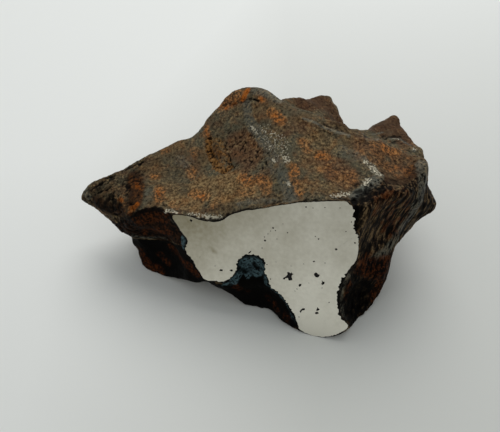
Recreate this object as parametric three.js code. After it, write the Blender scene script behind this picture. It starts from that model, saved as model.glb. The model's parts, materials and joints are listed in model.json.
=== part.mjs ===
// An iron meteorite: a rusty, thumbprinted lump of nickel-iron with one sawn and polished window.
// Millimetres, +Z up. The lump rests on worn spots in the plane z = 0, and the window faces -Y.
// The body is a smooth blend of faceted lumps, hollowed by thumbprints and cut flat by the saw.
import * as THREE from "three";
import { ConvexHull } from "three/addons/math/ConvexHull.js";
import { ImprovedNoise } from "three/addons/math/ImprovedNoise.js";

// Overall size of the lump.
const LENGTH = 61;
const DEPTH = 42;
const HEIGHT = 28;
const MARGIN = 5; // empty space around the lump in the sampled box
const CELL = 1.3; // spacing of the surface points
const BLEND = 2.6; // fillet between two lumps
const EDGE_ROUNDING = 1.4; // rounding of a lump's own edges
const GROWTH = 0.3; // gives back what the rounding takes from the corners
const RIM_ROUNDING = 0.9; // rounding of a thumbprint's rim
const OUTLINE_ROUNDING = 0.4; // rounding of the window's edge
const PULL = 0.08; // how strongly a point of the surface keeps to the middle of its crossings
const RIPPLE = 0.35; // height of the uneven skin
const RIPPLE_SIZE = 5.5;
const RIPPLE_PHASE = new THREE.Vector3(3.1, 7.7, 5.3);

// The saw cut: a plane through the front foot, turned to the left and leaning back.
const CUT_TURN = THREE.MathUtils.degToRad(15);
const CUT_LEAN = THREE.MathUtils.degToRad(20);
const CUT_FOOT = new THREE.Vector3(10.1, -20.5, 0);
const CUT_ACROSS = new THREE.Vector3(Math.cos(CUT_TURN), -Math.sin(CUT_TURN), 0);
const CUT_UP = new THREE.Vector3(
  Math.sin(CUT_TURN) * Math.sin(CUT_LEAN),
  Math.cos(CUT_TURN) * Math.sin(CUT_LEAN),
  Math.cos(CUT_LEAN),
);
const CUT_NORMAL = new THREE.Vector3().crossVectors(CUT_ACROSS, CUT_UP);

// The two flats of the lump: the cut, and the plane of the worn spots that it rests on.
const FLATS = [
  new THREE.Plane().setFromNormalAndCoplanarPoint(CUT_NORMAL, CUT_FOOT),
  new THREE.Plane(new THREE.Vector3(0, 0, -1), 0),
];
const FLAT_TOLERANCE = 0.03; // how near a flat a crossing of the surface counts as lying on it

// A point given by its place on the cut, and how far it stands out in front of it.
function onCut(across, up, proud = 0) {
  return CUT_FOOT.clone()
    .addScaledVector(CUT_ACROSS, across)
    .addScaledVector(CUT_UP, up)
    .addScaledVector(CUT_NORMAL, proud);
}

// Outline of the window, as places across and up the cut, clockwise from its upper left corner.
const WINDOW_OUTLINE = [
  // upper edge, with a bump of crust that hangs over it
  [-27.4, 17.8], [-22.5, 17.1], [-19, 17], [-15.6, 19.2], [-10.3, 21.3], [-3, 23.5], [1.8, 24.9],
  // right edge, with the bite of the low bowl
  [2.5, 20.7], [3.7, 16.2], [2.5, 12.4], [1.9, 8], [4.7, 4.1],
  // round foot
  [2.9, 1.3], [0, -0.5], [-2.9, 0.5],
  // the hollow that the cut opened
  [-5.6, 4.9], [-9, 8.3], [-10.2, 11.8], [-12.6, 12.5], [-14.6, 10.4], [-16.4, 6.7],
  // left edge
  [-19.6, 6], [-23, 11.2], [-24.4, 14.2],
];
const OUTLINE_STEPS = 96;
const SPREAD = 2.2; // how fast the crust may widen behind the outline
const RIM_WIDTH = 2.6; // width of the crust's rim around the outline

// Corners of each lump, before its edges are rounded.
const SAWN_AWAY = 3; // how far the front of the lump once stood out past the cut
const corner = (x, y, z) => new THREE.Vector3(x, y, z);
const LUMPS = {
  core: [
    corner(-1, 10.8, 27.9),
    corner(3, 8.5, 27.5),
    corner(-4.2, 11.2, 26.4),
    corner(-8.6, 8, 20.6),
    corner(-9, 0, 16.5),
    corner(-6, -8, 14.7),
    corner(-2.4, 8.8, 25.8),
    corner(-0.4, 1, 23.9),
    onCut(-7, 19.3, SAWN_AWAY),
    onCut(3, 21.9, SAWN_AWAY),
    onCut(5.2, 16.4, SAWN_AWAY),
    onCut(4.6, 8, SAWN_AWAY),
    corner(17.3, -9.6, 26.2),
    corner(14.4, 3, 24.3),
    corner(-8, 4, 3),
    corner(0, -8, 4),
    corner(6, 16, 3),
    corner(18, 8, 3),
  ],
  front: [
    onCut(-22.6, 16, SAWN_AWAY),
    onCut(-14, 16.4, SAWN_AWAY),
    onCut(3.4, 21.4, SAWN_AWAY),
    onCut(5.4, 12, SAWN_AWAY),
    onCut(5.4, 3.6, SAWN_AWAY),
    onCut(-3, -0.4, SAWN_AWAY),
    onCut(-15.6, 4.8, SAWN_AWAY),
    corner(-13.6, -8.6, 13.4),
    corner(-10, -12.4, 6),
    corner(-7, -8, 7),
    corner(12, -8, 18),
    corner(12, -10, 4),
    corner(0, -8, 4),
    corner(0, -6, 17),
  ],
  horn: [
    corner(-30.9, 1.2, 12.4),
    corner(-30.7, 2, 10.6),
    corner(-30.1, -0.2, 9.4),
    corner(-25.6, 2.6, 14.2),
    corner(-18.3, 4, 16.7),
    corner(-8.7, 7.6, 20.6),
    corner(2, 2, 22.3),
    corner(-1, -13.4, 17.6),
    onCut(-22.8, 16.6, SAWN_AWAY),
    onCut(-19, 11, SAWN_AWAY),
    corner(-18.4, -5.2, 15.9),
    corner(-25.6, -2, 7),
    corner(-22, -2.8, 4.8),
    corner(-12, -9.4, 11),
    corner(-20, 6, 6),
    corner(-8, 10, 8),
    corner(0, 0, 8),
  ],
  leftLobe: [
    corner(-21.8, -3.2, 4.8),
    corner(-11.8, -9.9, 12.4),
    onCut(-18.4, 5.4, SAWN_AWAY / 2),
    corner(-11.2, -11.2, 3.4),
    corner(-16, -8, -0.6),
    corner(-20, -5.6, -0.8),
    corner(-21.8, -4.4, 0.4),
    corner(-22.4, -2.8, 3),
    corner(-17, 3, 6),
    corner(-6, 3, 1.5),
    corner(-4, -4, 10),
  ],
  keel: [
    corner(-11.2, -10.4, 3.2),
    corner(-5.4, -12.6, 1.2),
    corner(-3, -14.6, 0.6),
    corner(-0.5, -16.2, 0.4),
    corner(2.6, -16.9, 0.4),
    corner(5.6, -18.6, 0.2),
    corner(9, -17, 0.5),
    corner(-8.3, -12.8, 5),
    corner(-8, -9, 10),
    corner(2, -11, 10),
    corner(8, -14, 9),
    corner(6, -4, 1.5),
    corner(-10, -2, 1.5),
  ],
  rightShoulder: [
    corner(17.3, -9.6, 26.2),
    corner(14.4, 3, 24.3),
    corner(20.8, 1.4, 23.6),
    corner(24.4, -0.8, 23),
    corner(26.7, -2.6, 22.2),
    corner(28.4, -3.7, 18),
    corner(30.3, -4, 13.2),
    corner(24.6, -6.6, 8.8),
    corner(22.6, -10, 22),
    corner(27, 2, 12),
    corner(20, 8, 8),
    corner(12, -8, 8),
    corner(15, -14, 15),
  ],
  rightFoot: [
    corner(24.6, -6.6, 9),
    corner(22.2, -9.2, 5),
    corner(21.4, -12.8, 1.8),
    corner(19.2, -16.2, 0.8),
    corner(16, -19, 0.2),
    corner(22, -12, 12),
    corner(15, -15, 15),
    corner(13, -18, 11),
    corner(18, -6, 4),
    corner(12, -14, 0.4),
  ],
  frontFoot: [
    onCut(-4, 2, SAWN_AWAY),
    onCut(0, -0.8, SAWN_AWAY),
    onCut(5.6, 3.6, SAWN_AWAY),
    corner(10, -14, -0.4),
    corner(15, -16, -0.2),
    corner(6, -14, 11),
    corner(14, -14, 11),
  ],
  crest: [
    corner(2.6, 11, 22.6),
    corner(6.2, 16.4, 21.7),
    corner(12.8, 20.8, 19.6),
    corner(15.2, 19.9, 18.6),
    corner(16, 14.5, 15),
    corner(15, 18, 6),
    corner(6, 16.4, 5),
    corner(0, 12, 8),
    corner(13, 5, 19.5),
  ],
  spur: [
    corner(16.8, 9, 18.6),
    corner(21, 13.2, 16.7),
    corner(26.6, 18.4, 16.8),
    corner(27.1, 17, 15.6),
    corner(27.4, 11.6, 15.2),
    corner(29, 6, 16.8),
    corner(26.6, 0, 18.4),
    corner(15, 2, 20.6),
    corner(25, 17.4, 12.4),
    corner(22, 17, 13.4),
    corner(20, 15.6, 12),
    corner(23, 13, 4),
    corner(16, 13, 3),
    corner(25, 3, 4),
  ],
  rearBase: [
    corner(-10, 9.6, 13),
    corner(-2, 13.4, 12),
    corner(-6, 9, 1),
    corner(-1, 14, 2.5),
    corner(8, 17.6, -0.9),
    corner(16, 15.2, -0.9),
    corner(23, 5, 1.5),
    corner(6, 2, 1.5),
    corner(-8, 2, 1.5),
    corner(10, 12, 15),
    corner(18, 12, 14.6),
  ],
  base: [
    corner(-6, 0, 2),
    corner(8, -9, 2),
    corner(13, -14, 4),
    corner(14, -12, 10),
    corner(20, -7, 4),
    corner(22.5, 3, 4),
    corner(17, 9, 2),
    corner(4, 10, 2),
    corner(18, 10, 12),
    corner(21, -2, 12),
    corner(8, -4, 14),
  ],
};

// A thumbprint: the middle of its mouth, the way it faces, its width and its depth.
function thumbprint(at, facing, width, depth) {
  const radius = (width * width / 4 + depth * depth) / (2 * depth);
  const centre = at.clone().addScaledVector(facing.clone().normalize(), radius - depth);
  return { centre, radius };
}

const toward = (x, y, z) => new THREE.Vector3(x, y, z);
const THUMBPRINTS = [
  // the hollow that the cut opened, and the bay below it
  thumbprint(onCut(-12.4, 9.2), toward(-0.2, -0.95, 0.1), 6.4, 1.8),
  thumbprint(onCut(-11, 3.4), toward(-0.15, -0.95, -0.1), 10, 2.8),
  // right flank: the low bowl, the long groove above it, and the hollow by the outer corner
  thumbprint(corner(18.6, -16.8, 5.4), toward(0.6, -0.75, -0.1), 11, 2.6),
  thumbprint(corner(21, -11.6, 16), toward(0.5, -0.85, 0), 15, 2),
  thumbprint(corner(30, -5.4, 18), toward(0.9, -0.45, 0.2), 8, 1),
  // upper side: a dish on each side of the soft ridge, and a deeper one at the right end
  thumbprint(corner(-5, 1, 20.4), toward(-0.4, -0.3, 0.85), 12, 0.5),
  thumbprint(corner(10, -4.5, 24.7), toward(0.1, -0.25, 0.95), 17, 1),
  thumbprint(corner(22, -5, 23.6), toward(0.3, -0.1, 0.95), 11, 1.7),
  // horn and left lobe
  thumbprint(corner(-16.6, -8.2, 6.2), toward(-0.6, -0.8, 0.05), 11, 2.6),
  // behind the ridge, and between the crest and the spur
  thumbprint(corner(8.5, 10.5, 23), toward(0.1, 0.35, 0.93), 10, 2),
  thumbprint(corner(17.6, 13, 19.5), toward(0.1, 0.45, 0.9), 8, 2.6),
  thumbprint(corner(22.5, 7, 20), toward(0.3, 0.3, 0.9), 9, 1.4),
  // rear side
  thumbprint(corner(-7, 11.4, 12), toward(-0.5, 0.85, 0), 13, 1.8),
  thumbprint(corner(8, 18.6, 10), toward(-0.1, 1, -0.1), 12, 1.6),
  thumbprint(corner(24.6, 13.6, 8.4), toward(0.75, 0.65, -0.1), 12, 1.6),
  thumbprint(corner(28, 1.6, 9), toward(1, 0.1, -0.3), 12, 2.2),
  // underside, which leaves feet standing between the hollows
  thumbprint(corner(1, 0, 0), toward(-0.1, 0, -1), 19, 3),
  thumbprint(corner(15, -3, 0), toward(0.25, 0, -1), 17, 3),
  thumbprint(corner(-11, 5, 1.6), toward(-0.3, 0.3, -0.9), 12, 1.6),
  thumbprint(corner(0, 11, 0.5), toward(-0.2, 0.3, -0.95), 12, 2.4),
  thumbprint(corner(21, 9, 0), toward(0.4, 0.2, -0.9), 12, 2.4),
];

// The signed distance of a smooth maximum of two signed distances.
function smoothMax(a, b, size) {
  const overlap = Math.max(size - Math.abs(a - b), 0) / size;
  return Math.max(a, b) + overlap * overlap * size / 4;
}

// The planes of the hull of some corners, each once.
function hullPlanes(corners) {
  const planes = [];
  for (const face of new ConvexHull().setFromPoints(corners).faces) {
    const twin = planes.some(
      (plane) => plane.normal.dot(face.normal) > 0.9995 && Math.abs(plane.constant - face.constant) < 0.05,
    );
    if (!twin) planes.push({ normal: face.normal.clone(), constant: face.constant });
  }
  return planes;
}

const lumpPlanes = Object.values(LUMPS).map(hullPlanes);
const outlineCurve = new THREE.CatmullRomCurve3(
  WINDOW_OUTLINE.map(([across, up]) => new THREE.Vector3(across, up, 0)),
  true,
);
const outline = outlineCurve.getPoints(OUTLINE_STEPS).slice(0, OUTLINE_STEPS);

// Signed distance from a place on the cut to the window's outline, negative inside.
function outlineDistance(across, up) {
  let nearest = Infinity;
  let inside = false;
  outline.forEach((a, index) => {
    const b = outline[(index + 1) % outline.length];
    const run = b.x - a.x;
    const rise = b.y - a.y;
    const share = ((across - a.x) * run + (up - a.y) * rise) / (run * run + rise * rise);
    const along = THREE.MathUtils.clamp(share, 0, 1);
    nearest = Math.min(nearest, Math.hypot(across - a.x - along * run, up - a.y - along * rise));
    if (a.y > up !== b.y > up && across < a.x + (up - a.y) * run / rise) inside = !inside;
  });
  return inside ? -nearest : nearest;
}

// How far a point lies outside the crust that the window's outline allows there.
function crustDistance(point) {
  const offset = point.clone().sub(CUT_FOOT);
  const spread = SPREAD * Math.max(-offset.dot(CUT_NORMAL), 0);
  if (spread > RIM_WIDTH) return -Infinity;
  return Math.min(outlineDistance(offset.dot(CUT_ACROSS), offset.dot(CUT_UP)), RIM_WIDTH) - spread;
}

const ripples = new ImprovedNoise();

// Signed distance to the uncut lump, negative inside.
function lumpDistance(point) {
  let body = Infinity;
  for (const planes of lumpPlanes) {
    let lump = -Infinity;
    for (const plane of planes) {
      lump = smoothMax(lump, plane.normal.dot(point) - plane.constant - GROWTH, EDGE_ROUNDING);
    }
    body = body === Infinity ? lump : -smoothMax(-body, -lump, BLEND);
  }
  for (const { centre, radius } of THUMBPRINTS) {
    body = smoothMax(body, radius - point.distanceTo(centre), RIM_ROUNDING);
  }
  const phase = point.clone().divideScalar(RIPPLE_SIZE).add(RIPPLE_PHASE);
  body += RIPPLE * ripples.noise(phase.x, phase.y, phase.z);
  return smoothMax(body, crustDistance(point), OUTLINE_ROUNDING);
}

// Signed distance to the lump as sawn and worn.
function meteoriteDistance(point) {
  return Math.max(lumpDistance(point), ...FLATS.map((flat) => flat.distanceToPoint(point)));
}

// The slope of the distance at a point.
function slopeOf(distance, point, step = 0.05) {
  const slope = new THREE.Vector3();
  for (const axis of ["x", "y", "z"]) {
    const ahead = point.clone();
    const behind = point.clone();
    ahead[axis] += step;
    behind[axis] -= step;
    slope[axis] = (distance(ahead) - distance(behind)) / (2 * step);
  }
  return slope;
}

// Where the surface crosses the line between two points that lie on either side of it, and its normal there.
function crossingBetween(distance, from, to, fromValue, toValue) {
  const at = from.clone().lerp(to, fromValue / (fromValue - toValue));
  const value = distance(at);
  const [near, nearValue] = value < 0 === fromValue < 0 ? [to, toValue] : [from, fromValue];
  at.lerp(near, value / (value - nearValue));
  return { at, normal: slopeOf(distance, at).normalize() };
}

// The point where the planes of some crossings meet best, which keeps the ridges sharp.
function meetingPoint(crossings) {
  const middle = new THREE.Vector3();
  for (const { at } of crossings) middle.addScaledVector(at, 1 / crossings.length);
  const spread = [PULL, 0, 0, 0, PULL, 0, 0, 0, PULL];
  const offset = new THREE.Vector3();
  for (const { at, normal } of crossings) {
    const parts = normal.toArray();
    parts.forEach((a, row) => parts.forEach((b, column) => (spread[3 * row + column] += a * b)));
    offset.addScaledVector(normal, normal.dot(at) - normal.dot(middle));
  }
  return offset.applyMatrix3(new THREE.Matrix3().fromArray(spread).invert()).add(middle);
}

// Brings a point onto each flat that one of its crossings lies on.
function onFlats(point, crossings, rounds = 6) {
  const touches = (flat) => crossings.some(({ at }) => Math.abs(flat.distanceToPoint(at)) < FLAT_TOLERANCE);
  const flats = FLATS.filter(touches);
  for (let round = 0; round < rounds; round++) {
    for (const flat of flats) flat.projectPoint(point, point);
  }
  return point;
}

// Samples the distance on a grid, spans one point in each cell that the surface crosses,
// and one four-sided face around each edge that it crosses.
function surfaceOf(distance, low, high, cell) {
  const [nx, ny, nz] = high.clone().sub(low).divideScalar(cell).ceil().toArray().map((n) => n + 1);
  const at = (i, j, k) => i + nx * (j + ny * k);
  const place = (i, j, k) => new THREE.Vector3(i, j, k).multiplyScalar(cell).add(low);
  const values = new Float64Array(nx * ny * nz);
  for (let k = 0; k < nz; k++) {
    for (let j = 0; j < ny; j++) {
      for (let i = 0; i < nx; i++) values[at(i, j, k)] = distance(place(i, j, k));
    }
  }

  // the crossings on the edges, gathered for the four cells around each edge
  const steps = [[1, 0, 0], [0, 1, 0], [0, 0, 1]];
  const cells = new Map();
  const faces = [];
  for (let k = 1; k < nz - 1; k++) {
    for (let j = 1; j < ny - 1; j++) {
      for (let i = 1; i < nx - 1; i++) {
        const here = values[at(i, j, k)];
        steps.forEach(([a, b, c], axis) => {
          const next = values[at(i + a, j + b, k + c)];
          if (here < 0 === next < 0) return;
          const crossing = crossingBetween(distance, place(i, j, k), place(i + a, j + b, k + c), here, next);
          const u = steps[(axis + 1) % 3];
          const v = steps[(axis + 2) % 3];
          const around = [[0, 0], [1, 0], [1, 1], [0, 1]].map(([m, n]) => {
            const base = [i - m * u[0] - n * v[0], j - m * u[1] - n * v[1], k - m * u[2] - n * v[2]];
            const key = at(...base);
            if (!cells.has(key)) cells.set(key, { index: cells.size, base: place(...base), crossings: [] });
            cells.get(key).crossings.push(crossing);
            return cells.get(key).index;
          });
          faces.push(here < 0 ? around : around.reverse());
        });
      }
    }
  }

  const room = new THREE.Vector3(cell, cell, cell);
  const points = [...cells.values()].map(({ base, crossings }) => {
    const point = meetingPoint(crossings).clamp(base, base.clone().add(room));
    return onFlats(point, crossings);
  });
  return { points, faces };
}

// Splits each four-sided face along its shorter diagonal.
function trianglesOf({ points, faces }) {
  return faces.flatMap(([a, b, c, d]) =>
    points[a].distanceTo(points[c]) < points[b].distanceTo(points[d])
      ? [a, b, c, a, c, d]
      : [a, b, d, b, c, d],
  );
}

// The lump, sawn along the cut and worn flat where it rests, with the middle of its footprint at the origin.
function meteorite() {
  const low = new THREE.Vector3(-LENGTH / 2 - MARGIN, -DEPTH / 2 - MARGIN, -MARGIN);
  const high = new THREE.Vector3(LENGTH / 2 + MARGIN, DEPTH / 2 + MARGIN, HEIGHT + MARGIN);
  const surface = surfaceOf(meteoriteDistance, low, high, CELL);
  const geometry = new THREE.BufferGeometry().setFromPoints(surface.points);
  geometry.setIndex(trianglesOf(surface));
  geometry.computeBoundingBox();
  const middle = geometry.boundingBox.getCenter(new THREE.Vector3());
  geometry.translate(-middle.x, -middle.y, 0);
  geometry.computeVertexNormals();
  const crust = new THREE.MeshStandardMaterial({ color: 0x5a4030, roughness: 0.7, metalness: 0.35 });
  const mesh = new THREE.Mesh(geometry, crust);
  mesh.name = "meteorite";
  return mesh;
}

const group = new THREE.Group();
group.add(meteorite());

export default group;
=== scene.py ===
"""An iron meteorite with one sawn and polished window: its fine surface, its finish and its stage.

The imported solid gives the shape. A fine skin is laid over it, wrinkled, pitted and sawn flat again,
and crust and bare iron get their finish. Metres, +Z up; the window faces -Y.
"""
import json
import math

import bmesh
import bpy
import numpy as np
from bpy.props import FloatProperty, FloatVectorProperty, IntProperty, PointerProperty
from mathutils import Euler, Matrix, Quaternion, Vector, noise
from mathutils.bvhtree import BVHTree


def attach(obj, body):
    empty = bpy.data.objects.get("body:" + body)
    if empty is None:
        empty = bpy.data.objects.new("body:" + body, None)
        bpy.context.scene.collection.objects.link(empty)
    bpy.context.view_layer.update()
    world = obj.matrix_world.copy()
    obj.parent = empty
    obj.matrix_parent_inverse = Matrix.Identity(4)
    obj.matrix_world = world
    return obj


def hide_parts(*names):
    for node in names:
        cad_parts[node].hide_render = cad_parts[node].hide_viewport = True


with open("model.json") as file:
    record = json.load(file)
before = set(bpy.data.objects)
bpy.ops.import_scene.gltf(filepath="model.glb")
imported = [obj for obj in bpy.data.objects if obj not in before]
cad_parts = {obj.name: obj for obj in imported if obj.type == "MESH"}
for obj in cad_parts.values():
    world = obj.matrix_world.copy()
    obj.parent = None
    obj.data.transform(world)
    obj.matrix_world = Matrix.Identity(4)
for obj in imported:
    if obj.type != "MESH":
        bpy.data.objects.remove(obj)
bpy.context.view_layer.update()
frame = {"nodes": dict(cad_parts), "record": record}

bl_info = {
    "name": "Iron meteorite",
    "version": (1, 0, 0),
    "blender": (4, 5, 0),
    "location": "View3D > Sidebar > Meteorite",
    "description": "Builds a rusty iron meteorite with a polished window, and the stage it lies on",
    "category": "Object",
}

MM = 0.001
NODE = "meteorite"
CRUST, IRON, INCLUSION = 0, 1, 2

# The saw cut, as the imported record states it.
WINDOW = next(mount for mount in frame["record"]["mounts"] if mount["name"] == "polished_window")
CUT_PLACE = Vector(WINDOW["pos_m"])
CUT_NORMAL = Vector(WINDOW["axis"]).normalized()

# The camera, and the size of its picture in pixels.
PICTURE = (500, 432)
FOCAL_PIXELS = 600
SENSOR_MM = 36
CAMERA_PLACE = Vector((-0.409, -74.715, 83.6)) * MM
CAMERA_PITCH = math.radians(45.5)
CAMERA_TURN = Euler((math.pi / 2 - CAMERA_PITCH, 0, 0))

# The lump's outline, in pixels of the picture, clockwise from the tip of the horn.
OUTLINE = (
    # along the horn
    (81.5, 195), (83.5, 191.5), (86.5, 187), (90, 184.5), (95.5, 180.5), (104.5, 176.5),
    (114.5, 172.5), (124.5, 168.5), (137, 162), (143, 158.5), (147, 155.5), (154.5, 153), (163, 148.5),
    (171.5, 144), (180, 140), (187, 139), (193, 136.5), (199.5, 131),
    # hump
    (203, 126), (207.5, 118.5), (212.5, 113), (217.5, 107.5), (223.5, 100), (229, 94), (234, 90.5),
    (240, 88), (247.5, 87), (255, 87), (261.5, 88), (267.5, 90), (273.5, 94), (279, 98.5),
    # crest
    (282.5, 99), (288.5, 97.5), (296.5, 97), (301, 97.5), (306.5, 99), (311.5, 98), (316.5, 96),
    (323.5, 95), (329, 95.5), (332, 97.5), (333, 102.5), (336.5, 105), (338, 109), (340, 116),
    (344, 122.5), (349, 129),
    # saddle and spur
    (355, 128.5), (360.5, 130), (367.5, 130), (371.5, 126), (378.5, 122), (386.5, 119), (389.5, 116.5),
    (393, 114.5), (396.5, 115.5), (399.5, 119), (400, 123.5), (403.5, 130), (408.5, 135.5),
    (414.5, 143.5), (421.5, 148), (424, 151.5), (423.5, 154.5),
    # right side, with its knob
    (427, 160), (428.5, 166.5), (428.5, 186.5), (431.5, 193.5), (436, 202), (436.5, 206.5),
    (433.5, 210.5), (427, 214.5), (418.5, 219.5), (413, 225), (407, 232), (401.5, 239.5), (395, 247),
    (392, 255), (389, 270), (387, 279), (383, 286.5), (377.5, 296.5), (370, 307.5), (364, 314),
    (357.5, 319), (353, 325.5),
    # foot
    (350, 328), (345, 332), (337.5, 335.5), (329, 337), (319, 338), (311, 336.5), (304, 333),
    (298.5, 330.5),
    # below the notch
    (287.5, 325), (282, 321), (278, 317), (274, 312), (268, 308), (262, 308.5), (258, 306.5),
    (250, 305.5), (244.5, 304), (239, 299.5), (232.5, 295), (224, 290), (215, 286.5), (207, 281.5),
    # left lobe
    (196, 282.5), (188, 281), (178, 278.5), (166.5, 276.5), (158, 273), (149.5, 270.5), (143, 265.5),
    (139.5, 259.5), (138.5, 251.5), (134.5, 245), (131.5, 236.5), (123.5, 233), (115, 225.5),
    (110, 220), (102, 214), (94.5, 208), (89.5, 205.5), (85, 202), (82, 198.5),
)

# How the skin is fitted to the outline, in pixels: the distance between the places that are compared, how
# far from the outline the skin's edge is looked for, and how far from it the skin may move.
OUTLINE_STEP = 2.5
OUTLINE_SEARCH = 9
OUTLINE_NEAR = 30

# Spreads and reach of those moves in millimetres, before and after the rim is fitted.
COARSE_FIT = ((1.5, 1.0, 0.7, 0.6), 3.5)
FINE_FIT = ((0.5, 0.4), 1.0)

# Depth behind the cut in which the skin isn't quite free to move.
LIP = 0.2 * MM

# The polished window's rim, in pixels of the picture, clockwise from its upper left corner.
RIM = (
    (168, 214), (176, 215), (184, 215.5), (190, 216.5), (197, 219), (204, 221), (211, 222), (217, 222),
    (221, 221), (225, 219), (228, 216.5), (231, 214.5), (236, 212.5), (242, 211.5), (250, 210),
    (265, 208), (285, 204.5), (300, 202.5), (325, 201.5), (348, 201), (352, 207), (354, 213),
    (355, 226), (354, 231), (356, 235), (358, 240), (358.5, 247), (357, 259), (354, 264), (350, 268),
    (347, 272), (341, 281), (339, 286), (337.5, 298), (337, 305), (338, 311), (340, 316), (343, 321),
    (350, 326), (344, 330.5), (335, 334.5), (328, 336), (320, 336.5), (313, 335.5), (306, 332.5),
    (300, 329), (297, 325), (294, 316), (290, 307), (284, 299), (279, 292.5), (272, 288), (269.5, 283),
    (268, 279), (266, 276), (264.5, 270), (265, 264), (264, 259), (261, 256.5), (253, 255),
    (244, 254.5), (241, 257), (236.5, 264), (237, 271), (229, 279), (222, 282), (214, 280.2),
    (206.5, 281), (202, 276), (196.5, 268), (193, 260), (187, 253.5), (184.5, 251), (188.5, 240),
    (183, 233), (180, 231), (176.5, 223),
)

# How the skin is fitted to the rim: places on each side of its outline, depth of the skin's own rim, and
# spreads and reach of the moves in millimetres.
RIM_STEPS = 12
RIM_DEPTH = 0.15 * MM
RIM_SPREADS = (1.2, 0.7, 0.4)
RIM_REACH = 2.5

# Ridges and grooves finer than the solid's own. Each one runs through some places of the picture, in
# pixels, and has its reach and its height in millimetres.
FORMS = (
    # thin ridge in front of the crest and the spur, and the groove behind it
    (((300, 118), (313, 122), (325, 128), (337, 132.5), (349, 136), (361, 140)), 0.35, 0.14),
    (((361, 140), (377, 141), (391, 139.5), (399, 139.5), (405, 144), (413, 150), (421, 157)), 0.5, 0.20),
    (((306, 113), (316, 119), (328, 125), (338, 130)), 0.8, -0.10),
    (((366, 137), (385, 137), (400, 137), (410, 143), (416, 148)), 0.6, -0.15),
    # crease round the cap of the hump, and the crack in it
    (((221, 107), (232, 103), (241, 101), (249, 100.5)), 0.5, -0.14),
    (((250, 98.5), (254, 99), (258, 100.5)), 0.3, -0.15),
    # near rim of the right dish, and the edge from it down to the window
    (((384, 178), (390, 183), (399, 185)), 0.8, 0.12),
    (((380, 176), (368, 186), (354, 196)), 0.8, 0.18),
    # rib at the right
    (((424, 167), (424, 180), (421, 192), (417, 205)), 0.8, 0.25),
    # edge above the left lobe
    (((135, 236), (150, 237), (168, 238)), 0.6, 0.20),
    # low bowl at the right
    (((364, 272), (358, 286), (353, 300)), 3.0, -0.60),
)

# The streaks of the right flank run from one of these pixels to the other, so many times longer than wide.
STREAK_RUN = ((402, 196), (372, 250))
STREAK_STRETCH = 6

# Pixel of the picture where the horn's wrinkles start.
HORN_START = (141, 186)

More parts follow.
